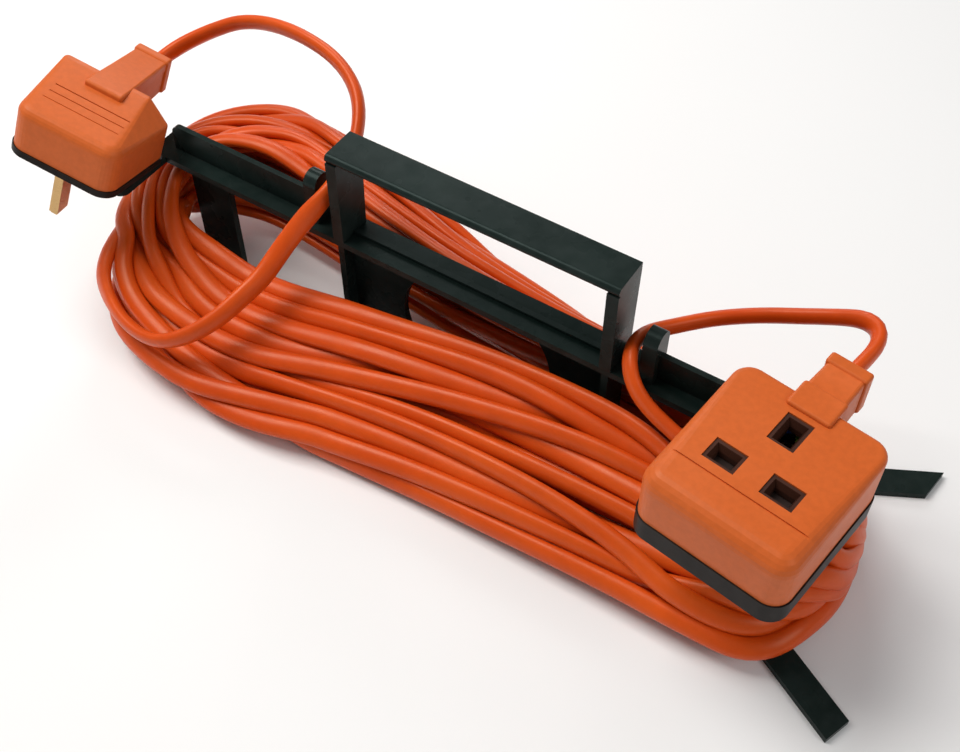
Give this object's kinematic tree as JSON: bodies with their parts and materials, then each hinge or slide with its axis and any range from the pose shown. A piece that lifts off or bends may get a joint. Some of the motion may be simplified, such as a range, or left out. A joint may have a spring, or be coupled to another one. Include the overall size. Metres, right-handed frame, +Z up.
{
  "type": "extension lead on a carrier",
  "caption": "Flat black cable carrier with a carrying handle, wound with orange flex that ends in a fused plug and a socket outlet parked on its deck.",
  "frame": {"origin": "on the floor, below the centre of the box round the carrier and the socket outlet", "axes": "+X along the carrier towards the socket outlet, +Z up, -Y towards the front, where the outlet sits"},
  "size_m": [0.3992, 0.1495, 0.1085],
  "materials": {
    "carrier_plastic": "moulded black plastic, faint flow lines and rubbed edges",
    "orange_shell": "orange moulded plastic, fine texture",
    "orange_flex": "orange PVC sheath, soft gloss",
    "black_base": "black moulded plastic",
    "brown_insert": "dark brown phenolic",
    "shutter_plastic": "dark brown nylon",
    "live_insulation": "brown PVC insulation",
    "neutral_insulation": "blue PVC insulation",
    "earth_insulation": "green and yellow PVC insulation",
    "spring_steel": "drawn spring wire",
    "grip_fibre": "black nylon clamp bar",
    "brass": "machined brass",
    "zinc_screws": "zinc plated steel",
    "fuse_ceramic": "ceramic tube with metal caps"
  },
  "bodies": {
    "carrier_and_lead": {"spine": "carrier_plastic", "handle_grip": "carrier_plastic", "left_upright": "carrier_plastic", "right_upright": "carrier_plastic", "left_hook": "carrier_plastic", "right_hook": "carrier_plastic", "left_pedestal": "carrier_plastic", "right_pedestal": "carrier_plastic", "left_foot_rail": "carrier_plastic", "right_foot_rail": "carrier_plastic", "left_end_leg": "carrier_plastic", "right_end_leg": "carrier_plastic", "left_end_arm": "carrier_plastic", "right_end_arm": "carrier_plastic", "front_left_strip": "carrier_plastic", "front_right_strip": "carrier_plastic", "back_right_strip": "carrier_plastic", "socket_base": "black_base", "socket_cover": "orange_shell", "socket_slot_liner": "brown_insert", "shutter_spring": "spring_steel", "socket_live_contact": "brass", "socket_neutral_contact": "brass", "socket_earth_contact": "brass", "socket_terminal_screws": "brass", "socket_cord_grip": "grip_fibre", "socket_cord_grip_screws": "zinc_screws", "socket_cover_screws": "zinc_screws", "socket_cable_end": "orange_flex", "socket_live_core": "live_insulation", "socket_neutral_core": "neutral_insulation", "socket_earth_core": "earth_insulation", "plug_base": "black_base", "plug_cover": "orange_shell", "plug_earth_pin": "brass", "plug_live_pin": "brass", "plug_neutral_pin": "brass", "plug_fuse": "fuse_ceramic", "plug_fuse_clips": "brass", "plug_terminal_screws": "brass", "plug_cord_grip": "grip_fibre", "plug_cord_grip_screws": "zinc_screws", "plug_cover_screw": "zinc_screws", "plug_cable_end": "orange_flex", "plug_live_core": "live_insulation", "plug_neutral_core": "neutral_insulation", "plug_earth_core": "earth_insulation", "cord_coil": "orange_flex", "plug_tail": "orange_flex", "socket_tail": "orange_flex"},
    "shutter": {"socket_shutter": "shutter_plastic"}
  },
  "joints": [
    {"name": "shutter_slide", "type": "slide", "parent": "carrier_and_lead", "child": "shutter", "axis": [-0.1392, -0.9903, 0], "range_m": [0, 0.006], "stiffness_N_per_m": 200, "springref_m": -0.002, "deforming": ["shutter_spring"]}
  ]
}
